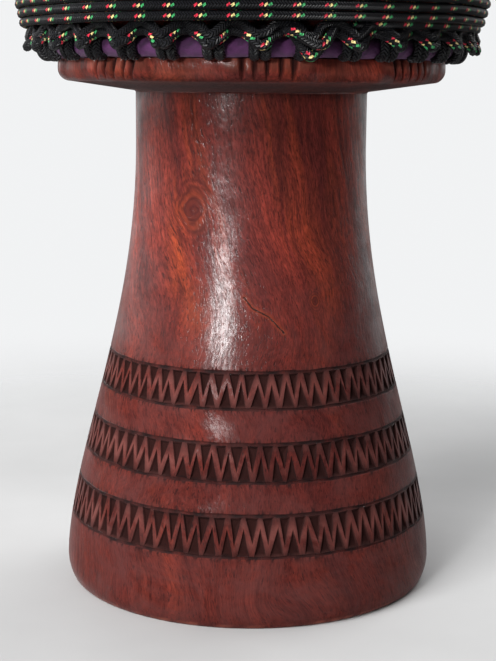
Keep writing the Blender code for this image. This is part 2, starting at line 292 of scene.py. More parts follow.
# A hitch's strand over its ring: degrees round the ring from its outside, share of the distance to its centre
HITCH = ((118, 1.05), (90, 1.05), (60, 1.0), (30, 1.0), (0, 1.0), (-25, 0.98), (-45, 0.9), (-62, 0.72))

# Facets
AROUND = 256
LINE_AROUND = 640
COLLAR_AROUND = 1152
BORE_AROUND = 96
ROPE_SIDES = 8
RING_AROUND = 360
RING_SIDES = 20

# The photographed view: size of the picture, focal length and place of the camera
PICTURE_HEIGHT = 661
FOCAL_PIXELS = 1440
SENSOR = 36
CAMERA_AT = (0.0, -0.822, 0.288)
CAMERA_PITCH = radians(79.9)
CAMERA_ROLL = radians(-0.45)
CAMERA_TURN = radians(0.14)

# Floor, backdrop, and lights as (name, place, point aimed at, size, watts, lean)
FLOOR = 6.0
FLOOR_TONES = ((0.3, 0.46), (0.7, 0.52))
FLOOR_FADE = (0.2, 0.85)
LIT_BEHIND = ((-0.1, 0.65), (0.05, 1.0))
LIT_ABOVE = ((-0.12, 0.02), (0.15, 1.0))
BRIGHT_SIDE = (-0.3, 0.92, 0.1)
BACKDROP = 0.9
BACKDROP_TINT = (0.98, 0.99, 1.0, 1.0)
LIGHTS = (
    ("window", (-0.54, -1.29, 0.465), (0, 0, 0.2), (0.18, 0.14), 8, radians(-38)),
    ("key", (-1.25, -1.5, 1.9), (0, 0, 0.2), (1.3, 1.3), 86),
    ("fill", (1.2, 1.0, 2.1), (0, 0, 0.3), (1.6, 1.6), 26),
)


def polar(radius, angle, height):
    return np.stack([radius * np.cos(angle), radius * np.sin(angle), height + 0 * angle], axis=-1)


def even_angles(count):
    return np.arange(count) * TURN / count


def ease(values):
    """Smooth step from 0 to 1."""
    values = np.clip(values, 0.0, 1.0)
    return values * values * (3 - 2 * values)


def wobble(angles, rng, waves=7, highest=30):
    """A smooth random function round the drum, between about -1 and 1."""
    total = np.zeros_like(angles)
    for _ in range(waves):
        total += np.sin(angles * rng.integers(2, highest) + rng.uniform(0, TURN))
    return total / sqrt(waves)


def flare(height):
    share = np.clip((height - FOOT_SWELL) / (FLARE_END - FOOT_SWELL), 0.0, 1.0)
    return 0.5 * (1 + np.cos(pi * share**FLARE_BIAS))


def stem_radius(height):
    """Outside of the foot and neck."""
    tuck = FOOT_TUCK * np.clip(1 - height / FOOT_SWELL, 0.0, 1.0) ** 2
    return NECK_RADIUS + (FOOT_RADIUS - NECK_RADIUS) * flare(height) - tuck


def bore_radius(height):
    """Inside of the foot and neck."""
    throat = NECK_RADIUS - NECK_WALL
    return throat + (FOOT_RADIUS - FOOT_WALL - throat) * flare(height)


def bowl_radius(height, rim):
    """Outside of the bowl. rim is (radius, height) of its top."""
    share = (height - WAIST_HEIGHT) / (rim[1] - WAIST_HEIGHT)
    return WAIST_RADIUS + (rim[0] - WAIST_RADIUS) * (1 - (1 - share) ** BOWL_SWELL)


def add(name, data):
    """An object in the scene."""
    thing = bpy.data.objects.new(name, data)
    bpy.context.scene.collection.objects.link(thing)
    return thing


def new_mesh(name, points, faces, slots, materials):
    """A smooth mesh in the scene, with a material number for each face."""
    data = bpy.data.meshes.new(name)
    data.from_pydata(points, [], faces)
    for material in materials:
        data.materials.append(material)
    data.polygons.foreach_set("material_index", np.array(slots, np.int32))
    data.shade_smooth()
    return add(name, data)


class Surface:
    """Points, faces and per-point marks of a mesh, gathered row by row."""

    def __init__(self, *marks):
        self.points = []
        self.faces = []
        self.slots = []
        self.marks = {mark: [] for mark in marks}

    def point(self, position, **marks):
        self.points.append(tuple(position))
        for mark, values in self.marks.items():
            values.append(marks.get(mark, 0.0))
        return len(self.points) - 1

    def face(self, *corners, slot=0):
        self.faces.append(corners)
        self.slots.append(slot)

    def row(self, radius, height, angles, **marks):
        """A closed row round the axis, as (angle, point) pairs. All but the angles may vary round it."""
        places = polar(radius + 0 * angles, angles, height)
        spread = {mark: np.broadcast_to(value, angles.shape) for mark, value in marks.items()}
        return [
            (angle, self.point(place, **{mark: float(value[i]) for mark, value in spread.items()}))
            for i, (angle, place) in enumerate(zip(angles, places))
        ]

    def join(self, first, second, slot=0):
        """Faces between two closed rows: squares where they match, or else triangles."""
        if len(first) == len(second) and abs(first[0][0] - second[0][0]) < 1e-6:
            for i in range(len(first)):
                after = (i + 1) % len(first)
                self.face(first[i][1], first[after][1], second[after][1], second[i][1], slot=slot)
            return
        first, second = (sorted((angle % TURN, point) for angle, point in row) for row in (first, second))
        for row in (first, second):
            row.append((row[0][0] + TURN, row[0][1]))
        i = j = 0
        while i < len(first) - 1 or j < len(second) - 1:
            on_first = j == len(second) - 1 or (
                i < len(first) - 1 and first[i + 1][0] + first[i][0] <= second[j + 1][0] + second[j][0]
            )
            if on_first:
                self.face(first[i][1], first[i + 1][1], second[j][1], slot=slot)
                i += 1
            else:
                self.face(first[i][1], second[j + 1][1], second[j][1], slot=slot)
                j += 1

    def join_all(self, rows, slot=0):
        for first, second in zip(rows, rows[1:]):
            self.join(first, second, slot)

    def fan(self, row, centre):
        for i in range(len(row)):
            self.face(row[i][1], row[(i + 1) % len(row)][1], centre)

    def build(self, name, materials, sharpest):
        """Edges sharper than so many degrees stay sharp."""
        piece = new_mesh(name, self.points, self.faces, self.slots, materials)
        for mark, values in self.marks.items():
            layer = piece.data.attributes.new(mark, "FLOAT", "POINT")
            layer.data.foreach_set("value", np.array(values, np.float32))
        piece.data.set_sharp_from_angle(angle=radians(sharpest))
        return piece


class Value:
    """What a node gives out. Arithmetic with it makes more nodes."""

    def __init__(self, nodes, socket):
        self.nodes = nodes
        self.socket = socket

    def __add__(self, other):
        return self.nodes.math("ADD", self, other)

    def __sub__(self, other):
        return self.nodes.math("SUBTRACT", self, other)

    def __rsub__(self, other):
        return self.nodes.math("SUBTRACT", other, self)

    def __mul__(self, other):
        return self.nodes.math("MULTIPLY", self, other)

    def __truediv__(self, other):
        return self.nodes.math("DIVIDE", self, other)


class Nodes:
    """Short calls for the nodes of one tree."""

    def __init__(self, tree):
        self.tree = tree

    def node(self, kind, inputs=None, **settings):
        node = self.tree.nodes.new("ShaderNode" + kind)
        for setting, value in settings.items():
            setattr(node, setting, value)
        for name, value in (inputs or {}).items():
            self.feed(node.inputs[name], value)
        return node

    def feed(self, socket, value):
        if isinstance(value, Value):
            self.tree.links.new(value.socket, socket)
        else:
            socket.default_value = value

    def out(self, kind, output, inputs=None, **settings):
        return Value(self, self.node(kind, inputs, **settings).outputs[output])

    def math(self, operation, *values):
        return self.out("Math", 0, dict(enumerate(values)), operation=operation)

    def split(self, vector):
        node = self.node("SeparateXYZ", {"Vector": vector})
        return [Value(self, socket) for socket in node.outputs]

    def between(self, value, levels, amounts, interpolation):
        """The first amount at the first level, passing over to the second at the second."""
        inputs = dict(enumerate((value, *levels, *amounts)))
        return self.out("MapRange", "Result", inputs, interpolation_type=interpolation)


class Material(Nodes):
    """A node material, and the colour it has so far."""

    def __init__(self, name):
        self.made = bpy.data.materials.new(name)
        self.made.use_nodes = True
        super().__init__(self.made.node_tree)
        self.shader = self.tree.nodes["Principled BSDF"]
        self.place = self.out("TexCoord", "Object")

    def noise(self, scale, detail=4.0, roughness=0.5, distortion=0.0, upright=1.0):
        stretched = self.out("Mapping", "Vector", {"Vector": self.place, "Scale": (1, 1, upright)})
        inputs = dict(Vector=stretched, Scale=scale, Detail=detail, Roughness=roughness, Distortion=distortion)
        return self.out("TexNoise", "Fac", inputs)

    def ramp(self, value, stops):
        """Stops are (position, colour or grey)."""
        node = self.node("ValToRGB", {"Fac": value})
        stops = [(at, (colour,) * 3 if isinstance(colour, (int, float)) else colour) for at, colour in stops]
        elements = node.color_ramp.elements
        while len(elements) < len(stops):
            elements.new(0.5)
        for element, (at, colour) in zip(elements, stops):
            element.position = at
            element.color = (*colour, 1)
        return Value(self, node.outputs["Color"])

    def rising(self, value, low, high, most=1.0):
        """0 up to low, and most from high on."""
        return self.ramp(value, ((low, 0.0), (high, most)))

    def falling(self, value, low, high, most=1.0):
        """Most up to low, and 0 from high on."""
        return self.ramp(value, ((low, most), (high, 0.0)))

    def tint(self, factor, colour, blend="MIX"):
        """Mixes a colour into the material's own."""
        inputs = {"Factor": factor, 6: self.colour, 7: (*colour, 1) if isinstance(colour, tuple) else colour}
        self.colour = self.out("Mix", 2, inputs, data_type="RGBA", blend_type=blend)

    def mark(self, name):
        return self.out("Attribute", "Fac", attribute_name=name)

    def bumps(self, *layers, under=None):
        """Bumps of (height, distance, strength), one upon another."""
        for height, distance, strength in layers:
            inputs = {"Height": height, "Distance": distance, "Strength": strength}
            if under is not None:
                inputs["Normal"] = under
            under = self.out("Bump", "Normal", inputs)
        return under

    def set(self, **inputs):
        for name, value in {"Base Color": self.colour, **inputs}.items():
            self.feed(self.shader.inputs[name.replace("_", " ")], value)
        return self.made


def shade(colour, *shares):
    """The colour times one share, or times a share for each of its three parts."""
    return tuple(part * share for part, share in zip(colour, shares * (3 // len(shares))))


def grain_flow(wood):
    """Turns the coordinates about the axis so that the grain leans, wanders and runs round the knots.

    Returns the distance from the nearest knot, in its own radii.
    """
    x, y, wood.height = wood.split(wood.place)
    wood.angle = wood.math("ARCTAN2", x, y * -1.0)
    twist = wood.height * GRAIN_LEAN + (wood.noise(*WANDER) - 0.5) * WANDER_TURN
    nearest = FAR
    for angle, height, size in KNOTS:
        size *= MM
        off = wood.angle - radians(angle)
        across = off * KNOTS_AT
        up = (wood.height - height * MM) * KNOT_SQUASH
        square = across * across + up * up
        pull = wood.math("DIVIDE", size * size, square + KNOT_CORE * size * size)
        twist = twist - off * pull
        nearest = wood.math("MINIMUM", nearest, wood.math("SQRT", square) / size)
    turned = {"Vector": wood.place, "Angle": twist}
    wood.place = wood.out("VectorRotate", "Vector", turned, rotation_type="Z_AXIS")
    return nearest


def near_line(wood, points, width):
    """1 on a line through points on the neck, down to 0 at its half width."""
    best = 0.0
    for (angle, low), (next_angle, high) in zip(points, points[1:]):
        start = radians(angle) * LINES_AT
        du = radians(next_angle) * LINES_AT - start
        dv = high * MM - low * MM
        square = du * du + dv * dv
        u = wood.angle * LINES_AT - start
        v = wood.height - low * MM
        along = wood.out("Clamp", 0, {"Value": u * (du / square) + v * (dv / square)})
        u = u - along * du
        v = v - along * dv
        here = 1.0 - wood.math("SQRT", u * u + v * v) / width
        best = wood.math("MAXIMUM", best, here)
    return best


def plain_wood(wood, light, dark, orange, featured):
    """The grain, with plum clouds, orange streaks, grit, fine lines and pores."""
    middle = tuple(0.45 * a + 0.55 * b for a, b in zip(light, dark))
    wood.colour = wood.ramp(wood.grain, ((0.34, dark), (0.5, middle), (0.66, light)))
    wood.tint(0.8 - wood.calm * 0.8, middle)
    wood.tint(wood.rising(wood.noise(*BROAD), low=0.42, high=0.62, most=0.7), shade(middle, *PLUM_SHARES))
    amount = wood.rising(wood.noise(*STREAKS), low=0.56, high=0.72, most=0.5) * wood.calm
    if featured:
        burning = wood.rising(wood.grain, low=0.42, high=0.62, most=0.85)
        amount = wood.math("MAXIMUM", amount, near_line(wood, FLAME, FLAME_WIDTH) * burning)
    wood.tint(amount, orange)
    wood.tint(wood.calm * 0.35 + 0.65, wood.ramp(wood.grit, GRIT_TONES), "MULTIPLY")
    wood.tint(wood.lines * (wood.calm * 0.6 + 0.4), shade(dark, 0.45))
    wood.tint(wood.specks, shade(dark, 0.3))


def knots(wood, nearest, dark, orange):
    """Knots with a dark heart, growth rings and an orange glow round them."""
    uneven = (wood.grain - 0.5) + (wood.noise(*KNOT_EDGE) - 0.5)
    edge = nearest + uneven * 1.3
    wood.tint(wood.falling(edge / 3.0, low=0.34, high=0.7, most=0.3), orange)
    rings = wood.math("SINE", edge * KNOT_RINGS) * 0.5 + 0.5
    wood.tint(rings * wood.falling(edge / 4.0, low=0.25, high=0.9, most=0.8), shade(dark, 0.5))
    wood.tint(wood.falling(edge, low=0.6, high=1.05, most=0.75), shade(dark, 0.75))


def wood_material(name, varnish, tones, featured=False):
    """Reddish hardwood, with burnt, cut and scraped marks where the carving has them."""
    light, dark = tones
    orange = shade(light, *ORANGE_SHARES)
    wood = Material(name)
    nearest = grain_flow(wood)
    wood.grain = wood.noise(*GRAIN)
    wood.grit = wood.noise(*GRIT)
    wood.lines = wood.falling(wood.noise(*LINES), low=0.33, high=0.52, most=0.7)
    wood.specks = wood.falling(wood.noise(*PORES), low=0.30, high=0.42, most=0.85)
    wood.calm = wood.ramp(wood.height, GRAIN_SHOWS)
    plain_wood(wood, light, dark, orange, featured)
    knots(wood, nearest, dark, orange)
    cloudy = wood.rising(wood.noise(*CLOUDS), low=0.4, high=0.64)
    # Painted sheen: pale pink clouds on the lower, varnished part of the drum
    wood.tint((1.0 - wood.calm) * (PAINTED_SHEEN * varnish) * cloudy, PAINTED_SHEEN_TINT)
    # Darker towards the foot, with painted shade on the neck under the collar and on the collar's underside
    wood.tint(1.0, wood.ramp(wood.height, TONE_AND_PAINTED_SHADE), "MULTIPLY")
    # Fresh-cut and worn wood; in the collar's scoops also a painted reflection
    wood.tint(wood.mark("fresh") * 0.6, FRESH_TINT)
    wood.tint(wood.mark("rib") * (cloudy * 0.6), RIB_TINT)
    # Cut pockets and notches: dark stain and painted shade
    wood.tint(wood.mark("cut") * 0.88, CUT_STAIN_AND_SHADE_TINT)
    wood.tint(wood.mark("burnt") * 0.95, BURNT_TINT)
    bump = wood.bumps(
        (wood.grain, 0.5 * MM, 0.3), (wood.lines, -0.12 * MM, 0.5),
        (wood.grit, 0.12 * MM, 0.5), (wood.specks, -0.1 * MM, 0.5),
        (wood.noise(*WAVES), 0.9 * MM, 0.4),
    )
    if featured:
        crack = near_line(wood, CRACK, CRACK_WIDTH)
        wood.tint(crack * 0.35, orange)
        crack = wood.rising(crack + (wood.grit - 0.5) * 0.8, low=0.8, high=0.92)
        wood.tint(crack * 0.9, CRACK_TINT)
        bump = wood.bumps((crack, -0.6 * MM, 0.8), under=bump)
    dull = 0.0
    for mark, strength in DULL_MARKS:
        dull = wood.math("MAXIMUM", dull, wood.math("MINIMUM", wood.mark(mark) * strength, 1.0))
    patches = wood.rising(wood.noise(*PATCHES), low=0.38, high=0.62, most=0.55)
    dull = wood.math("MAXIMUM", wood.ramp(wood.height, WEAR) + patches, dull)
    coat = wood.math("MAXIMUM", 1.0 - dull, 0.0) * (COAT * varnish)
    wood.set(Coat_Weight=coat, Coat_Roughness=0.18, Coat_Normal=bump, Specular_IOR_Level=0.15)
    wood.set(Sheen_Weight=0.2 * varnish, Sheen_Roughness=0.3, Normal=bump)
    return wood.set(Roughness=wood.lines * 0.2 + (0.66 - 0.18 * varnish) + dull * 0.25)


def rope_material(name, threads):
    """Black braided cord, with red, yellow and green tracer threads winding along it if asked for."""
    rope = Material(name)
    along, round_it, _ = rope.split(rope.out("UVMap", "UV", uv_map="rope"))
    zigzag = rope.math("PINGPONG", round_it * BRAID_STRANDS, 1.0)
    ridge = rope.math("PINGPONG", along / BRAID_PITCH + zigzag, 0.5) * 2.0
    lean = rope.math("FRACT", round_it + 0.5) * FLECK_LEAN
    turn = rope.math("FRACT", along / FLECK_PITCH + lean)
    dash = rope.math("PINGPONG", round_it * 4.0, 0.5)
    share = FLECK_WIDTH / FLECK_PITCH
    # Painted shade in the braid's grooves, painted sheen on its ridges
    rope.colour = rope.ramp(ridge, ROPE_SHADE_AND_SHEEN_TONES)
    for step, tint in enumerate(THREADS if threads else ()):
        off = rope.math("ABSOLUTE", turn - (step + 0.5) * share)
        off = off / (share * 0.5) + dash * FLECK_NARROWING
        rope.tint(rope.falling(off, low=0.95, high=1.0), tint)
    bump = rope.bumps((ridge, 0.6 * MM, 1.0), (rope.noise(*ROPE_FUZZ), 0.1 * MM, 0.5))
    return rope.set(Roughness=0.45, Normal=bump, Specular_IOR_Level=0.28)


def cloth_material():
    """Purple cotton strip, wound tight round a ring."""
    cloth = Material("purple_cloth")
    along, round_it, _ = cloth.split(cloth.out("UVMap", "UV", uv_map="rope"))
    lap = cloth.math("FRACT", along / CLOTH_LAP + round_it * CLOTH_LEAN)
    edge = cloth.ramp(lap, ((0.0, 1.0), (0.05, 0.0), (0.9, 0.0), (1.0, 1.0)))
    weft = cloth.math("SINE", along * (TURN / CLOTH_THREAD))
    weave = weft * cloth.math("SINE", round_it * (TURN * CLOTH_WARP))
    creases = cloth.noise(*CREASES)
    cloth.colour = cloth.ramp(creases, CLOTH_TONES)
    cloth.tint(edge * 0.6, CLOTH_EDGE_TINT)
    bump = cloth.bumps((creases, 1.2 * MM, 0.5), (weave, 0.06 * MM, 0.4))
    return cloth.set(Roughness=0.8, Normal=bump, Sheen_Weight=0.15, Sheen_Roughness=0.5)


def skin_material():
    """Shaved goat skin: cream, mottled, with a darker stripe where the spine was."""
    skin = Material("goat_skin")
    mottle = skin.noise(*MOTTLE)
    veins = skin.noise(*VEINS)
    x, _, _ = skin.split(skin.place)
    across = x + mottle * (30 * MM)
    spine = skin.falling(skin.math("ABSOLUTE", across / SPINE_WIDTH), low=0.05, high=0.55, most=0.6)
    skin.colour = skin.ramp(mottle, SKIN_TONES)
    skin.tint(skin.falling(veins, low=0.35, high=0.5, most=0.45), VEIN_TINT)
    skin.tint(spine, SPINE_TINT)
    bump = skin.bumps((veins, 0.3 * MM, 0.4), (skin.noise(*SKIN_PORES), 0.08 * MM, 0.5))
    skin.set(Subsurface_Weight=0.1, Subsurface_Radius=(0.01, 0.006, 0.004))
    return skin.set(Roughness=0.55, Normal=bump)


def carve_band(mesh, bottom, height, count, rng):
    """One band of chip carving, cut by hand: pockets from both edges leave a raised zigzag rib."""
    period = TURN / count
    half = period * (1 - RIB_SHARE) / 2
    top = bottom + height

    def at(angle, level, depth=0.0, **marks):
        return mesh.point(polar(stem_radius(level) - depth, np.float64(angle), level), **marks)

    def uneven(most):
        return float(np.clip(rng.normal(0, most / 2), -most, most))

    def pocket(middle, edge, inward):
        reach = POCKET_REACH * height * (1 + uneven(REACH_UNEVEN))
        corners = [
            (middle - half * (1 + uneven(WIDTH_UNEVEN)), edge + uneven(CORNER_UNEVEN)),
            (middle + half * (1 + uneven(WIDTH_UNEVEN)), edge + uneven(CORNER_UNEVEN)),
            (middle + period * uneven(APEX_UNEVEN), edge + inward * reach),
        ]
        centre = (sum(angle for angle, _ in corners) / 3, sum(level for _, level in corners) / 3)
        depth = rng.uniform(*DEPTH_RANGE)
        # Darkness of the floor: dark stain and painted shade, more of it in the upper pockets
        dark = UPPER_STAIN_AND_SHADE if inward < 0 else rng.uniform(*LOWER_STAIN_AND_SHADE)
        rim = [at(*corner, rib=1.0, burnt=burnt) for corner, burnt in zip(corners, CORNERS_BURNT)]
        floor = []
        for angle, level in corners:
            in_angle = angle + POCKET_DRAWN_IN * (centre[0] - angle)
            in_level = level + POCKET_DRAWN_IN * (centre[1] - level)
            floor.append(at(in_angle, in_level, POCKET_FLOOR * depth, cut=dark))
        deep = at(*centre, POCKET_DEEP * depth, cut=dark)
        for here in range(3):
            after = (here + 1) % 3
            mesh.face(rim[here], rim[after], floor[after], floor[here], slot=2)
            mesh.face(floor[here], floor[after], deep, slot=2)
        return [(corners[0][0], rim[0]), (corners[1][0], rim[1])], rim[2]

    upper = [pocket(i * period, top, -1) for i in range(count)]
    lower = [pocket((i + 0.5) * period, bottom, 1) for i in range(count)]
    for i in range(count):
        after = (i + 1) % count
        (_, (_, above_right)), above_apex = upper[i]
        ((_, next_left), _), next_apex = upper[after]
        ((_, below_left), (_, below_right)), below_apex = lower[i]
        ((_, after_left), _), _ = lower[after]
        mesh.face(above_right, next_left, below_apex)
        mesh.face(above_right, above_apex, below_apex)
        mesh.face(next_left, next_apex, below_apex)
        mesh.face(below_right, after_left, next_apex)
        mesh.face(below_apex, below_right, next_apex)
        mesh.face(below_apex, below_left, above_apex)
    lower_row = [corner for corners, _ in lower for corner in corners]
    upper_row = [corner for corners, _ in upper for corner in corners]
    return border(mesh, bottom, -1, rng, lower_row)[::-1], border(mesh, top, 1, rng, upper_row)


def border(mesh, edge, outward, rng, edge_row):
    """Rows of the scored and burnt line beside a band, starting with the band's own edge.

    Where the knife ran on past the line, a short tick shows beyond it.
    """
    angles = even_angles(LINE_AROUND)
    sway = wobble(angles, rng) * LINE_SWAY
    ticks = (rng.random(LINE_AROUND) < TICK_SHARE) * rng.uniform(0.5, 1.0, LINE_AROUND)
    heavy = 0.8 + 0.2 * wobble(angles, rng, 9, 60)
    stations = [(-0.5, 0.6, heavy), (-0.1, 1, heavy), (0.3, 0.7, heavy), (0.6, 0, ticks), (1.3, 0, ticks / 2)]
    rows = [edge_row]
    for off, depth, burnt in stations:
        level = edge + outward * (LINE_OFF + off * LINE_WIDTH) + sway
        radius = stem_radius(level) - depth * LINE_DEPTH
        rows.append(mesh.row(radius, level, angles, burnt=np.clip(burnt, 0, 1)))
    level = edge + outward * (LINE_OFF + LINE_REACH * LINE_WIDTH)
    rows.append(mesh.row(stem_radius(level), level, even_angles(AROUND)))
    return rows


def collar_profile():
    """(radius, height, share of the carving) up the collar, from the neck out to its top edge."""
    stations = [(NECK_RADIUS + 0.7 * MM, NECK_TOP + 0.1 * MM, 0.0)]
    for share in (0.25, 0.5, 0.7, 0.85, 1.0):
        radius = NECK_RADIUS + share * (COLLAR_RADIUS - COLLAR_CORNER - NECK_RADIUS)
        stations.append((radius, NECK_TOP + share * COLLAR_SLOPE, 0.0))
    corner_height = NECK_TOP + COLLAR_SLOPE + COLLAR_CORNER
    for degrees in range(-80, 1, 8):
        angle = radians(degrees)
        radius = COLLAR_RADIUS - COLLAR_CORNER * (1 - cos(angle))
        height = corner_height + COLLAR_CORNER * sin(angle)
        stations.append((radius, height, (degrees + 80) / 80))
    for share in (0.3, 0.6, 0.85, 1.0):
        height = corner_height + share * (COLLAR_TOP - corner_height)
        stations.append((COLLAR_RADIUS - 0.4 * MM * share**3, height, 1.0))
    return stations


def collar_depth(angles, height, weight, table):
    """Depth of the notches and scoops round the collar at one height, how dark the notches are (stain and
    painted shade) and how fresh the wood is (in the scoops also a painted reflection).
    """

    def away(middle):
        return (angles - middle + pi) % TURN - pi

    slope_top = NECK_TOP + COLLAR_SLOPE
    reach = np.clip((height - slope_top) / (COLLAR_TOP - slope_top), 0.0, 1.0)
    length = ease(min(reach / NOTCH_RUN_OUT, 1.0))
    narrowing = NOTCH_FOOT + (1 - NOTCH_FOOT) * reach**0.7
    depth = cut = fresh = np.zeros_like(angles)
    spacing = TURN / NOTCH_GROUPS
    for group in range(NOTCH_GROUPS):
        middle = FIRST_GROUP + group * spacing
        for notch in range(NOTCHES):
            shift, wide, deep, lean = table[group][notch]
            off = away(middle + (notch - (NOTCHES - 1) / 2 + shift + lean * (1 - reach)) * NOTCH_PITCH)
            width = NOTCH_WIDTH * wide * narrowing / COLLAR_RADIUS
            shape = np.clip(1 - np.abs(off) / width, 0.0, 1.0)
            depth = np.maximum(depth, NOTCH_DEPTH * deep * shape * length * weight)
            cut = np.maximum(cut, ease(shape * 1.3) * length * weight)
        beside = np.clip(1 - np.abs(away(middle)) / (NOTCH_PITCH * (NOTCHES / 2 + 1.4)), 0.0, 1.0)
        fresh = np.maximum(fresh, ease(beside * 3) * ease((reach - 0.3) * 2))
        width = (spacing / 2 - NOTCH_PITCH * NOTCHES / 2) * (1.05 - 0.3 * reach)
        scoop = ease(1 - (away(middle + spacing / 2) / width) ** 2)
        depth = np.maximum(depth, SCOOP_DEPTH * scoop * ease(reach * 3))
        # Paler scoops: fresh-cut wood and a painted reflection
        fresh = np.maximum(fresh, SCOOP_FRESH_AND_SHEEN * scoop * ease(reach * 2))
    return depth, cut, fresh * (1 - cut)


def foot_edge(mesh, around):
    """Rows round the foot's lower edge, worn back to bare wood here and there."""
    worn = np.clip(0.35 + 0.6 * wobble(around, default_rng(17), 12, 90), 0, 1)
    rows = []
    for level in FOOT_LEVELS:
        radius = stem_radius(level) - EDGE_IN * max(1 - level / EDGE_UP, 0.0) ** 2
        rows.append(mesh.row(radius, level, around, fresh=worn * (level < WORN_UP)))
    return rows


def notch_table(rng):
    """How each notch is off its place, how wide and deep it is, and how its group leans."""
    shape = (NOTCH_GROUPS, NOTCHES)
    leans = np.repeat([[lean] for lean in GROUP_LEANS], NOTCHES, axis=1)
    return np.stack(
        [rng.normal(0, 0.07, shape), rng.uniform(0.75, 1.15, shape), rng.uniform(0.8, 1.1, shape), leans],
        axis=-1,
    )


def shell_outside(mesh, rim, rng):
    """All rows of the outside of the shell, from the floor to the rim."""
    around = even_angles(AROUND)
    rows = foot_edge(mesh, around)
    base_levels = np.linspace(FOOT_LEVELS[-1], BAND_BOTTOMS[0] - BASE_GAP, 5)[1:]
    rows += [mesh.row(stem_radius(z), z, around) for z in base_levels]
    mesh.join_all(rows)
    last = rows[-1]
    for bottom, height, count in zip(BAND_BOTTOMS, BAND_HEIGHTS, BAND_ZIGZAGS):
        below, above = carve_band(mesh, bottom, height, count, rng)
        mesh.join_all([last, *below])
        mesh.join_all(above)
        last = above[-1]
    carved_top = BAND_BOTTOMS[-1] + BAND_HEIGHTS[-1] + CARVED_GAP
    neck = [mesh.row(stem_radius(z), z, around) for z in np.linspace(carved_top, NECK_TOP - 0.6 * MM, 22)]
    mesh.join_all([last, *neck])

    fine = even_angles(COLLAR_AROUND)
    table = notch_table(rng)
    collar = []
    for radius, height, weight in collar_profile():
        depth, cut, fresh = collar_depth(fine, height, weight, table)
        collar.append(mesh.row(radius - depth, height, fine, cut=cut, fresh=fresh))
    mesh.join_all([neck[-1], *collar])
    ledge = mesh.row(COLLAR_RADIUS - LEDGE_IN, COLLAR_TOP + 0.2 * MM, around)
    seat = []
    for share in (0.0, 0.5):
        radius = SEAT_RADIUS + share * (WAIST_RADIUS - SEAT_RADIUS)
        seat.append(mesh.row(radius, COLLAR_TOP + share * (WAIST_HEIGHT - COLLAR_TOP), around))
    bowl_levels = np.linspace(WAIST_HEIGHT, rim[1] - RIM_ROUND, 34)
    bowl = [mesh.row(bowl_radius(z, rim), z, around) for z in bowl_levels]
    top = mesh.row(rim[0] - RIM_ROUND, rim[1], around)
    mesh.join_all([collar[-1], ledge, *seat, *bowl, top])
    return rows[0], top


def make_shell(materials):
    low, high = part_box("shell")
    rim = (high.x, high.z)
    rng = default_rng(7)
    mesh = Surface("cut", "burnt", "rib", "fresh")
    floor, top = shell_outside(mesh, rim, rng)
    ring = even_angles(BORE_AROUND)
    throat = NECK_RADIUS - NECK_WALL
    throat_top = (NECK_TOP + COLLAR_TOP) / 2
    floor_top = throat_top + BOWL_FLOOR_RISE
    wide = bowl_radius(floor_top, rim) - BOWL_WALL
    bore = [(bore_radius(z), z) for z in np.linspace(0, FLARE_END, 14)]
    bore.append((throat, throat_top))
    for angle in np.radians(range(10, 91, 10)):
        radius = throat + (wide - throat) * sin(angle)
        bore.append((radius, floor_top - BOWL_FLOOR_RISE * cos(angle)))
    for share in np.linspace(0, 1, 9)[1:]:
        level = floor_top + share * (rim[1] - floor_top)
        bore.append((bowl_radius(level, rim) - BOWL_WALL - share * (RIM_WALL - BOWL_WALL), level))
    rows = []
    for i, (radius, level) in enumerate(bore):
        chips = wobble(ring, rng, 9, 40) * 0.35 * MM * min(i, 1) * min(len(bore) - 1 - i, 1)
        rows.append(mesh.row(radius + chips, level, ring))
    mesh.join_all([top, *reversed(rows), floor], slot=1)
    return mesh.build("shell_wood", materials, 26)


def smooth_path(points, closed, samples):
    """Points along a Catmull-Rom curve through the given points."""
    points = np.asarray(points, float)
    count = len(points)
    spans = count if closed else count - 1
    where = np.linspace(0, spans, samples * spans + 1)[: -1 if closed else None]
    index = np.minimum(where.astype(int), spans - 1)
    t = (where - index)[:, None]

    def pick(step):
        wanted = index + step
        return points[wanted % count] if closed else points[np.clip(wanted, 0, count - 1)]

    before, here, after, beyond = (pick(step) for step in (-1, 0, 1, 2))
    return 0.5 * (
        2 * here
        + (after - before) * t
        + (2 * before - 5 * here + 4 * after - beyond) * t**2
        + (3 * here - before - 3 * after + beyond) * t**3
    )


def unit(vectors):
    return vectors / np.linalg.norm(vectors, axis=-1, keepdims=True)


